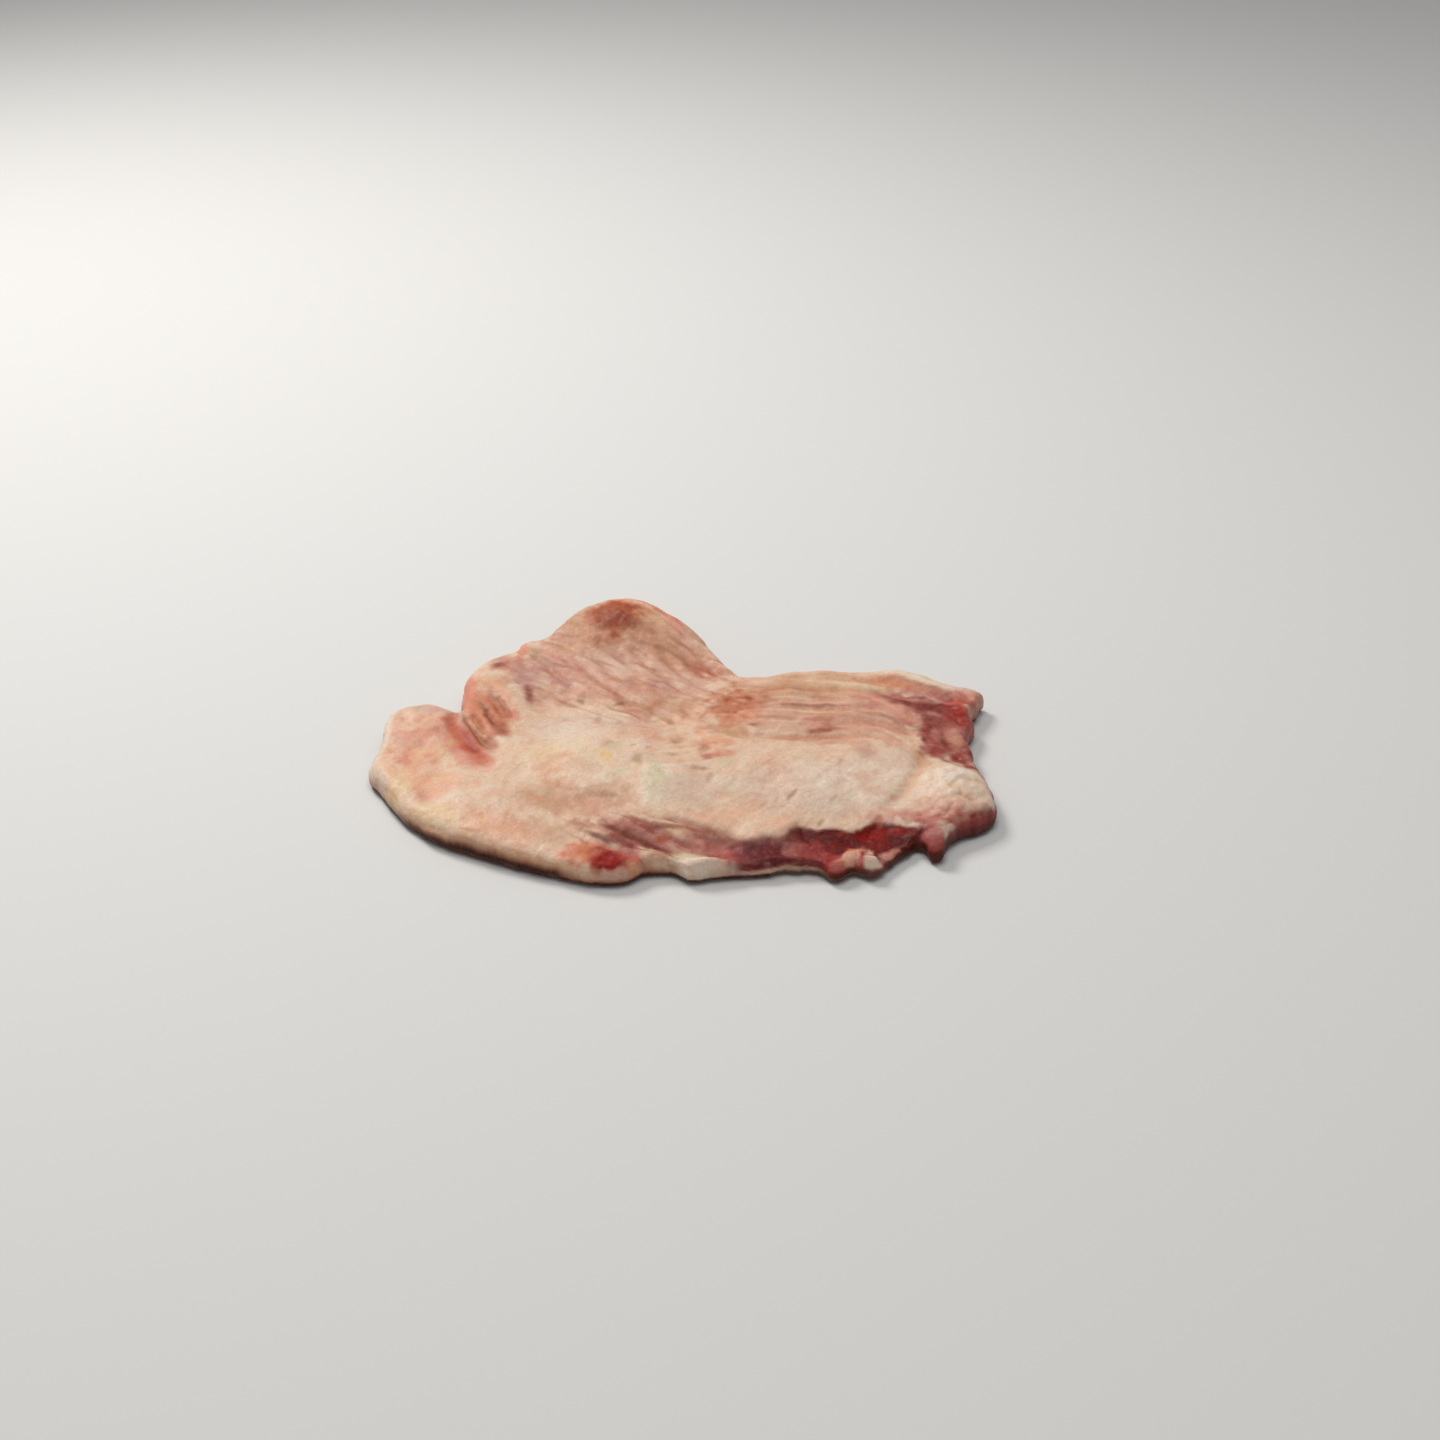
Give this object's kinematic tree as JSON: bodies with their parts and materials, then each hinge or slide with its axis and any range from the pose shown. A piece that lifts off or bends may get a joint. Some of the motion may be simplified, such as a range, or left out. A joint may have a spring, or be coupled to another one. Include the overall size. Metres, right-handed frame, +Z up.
{
  "type": "raw pork jowl",
  "caption": "Trimmed flat piece of raw marbled pork jowl with a round lobe, a long raised flap and a square lean end, lying fat side up.",
  "frame": {"origin": "on the resting plane, under the centre of the bounding box", "axes": "+X along the piece from the round lobe to the square lean end, +Y across it towards the tip of the long flap, +Z up from the resting plane"},
  "size_m": [0.2174, 0.1712, 0.0175],
  "materials": {
    "meat": "moist satin, cream-pink fat with red lean edges"
  },
  "bodies": {
    "root": {"pork_jowl": "meat"}
  },
  "joints": []
}
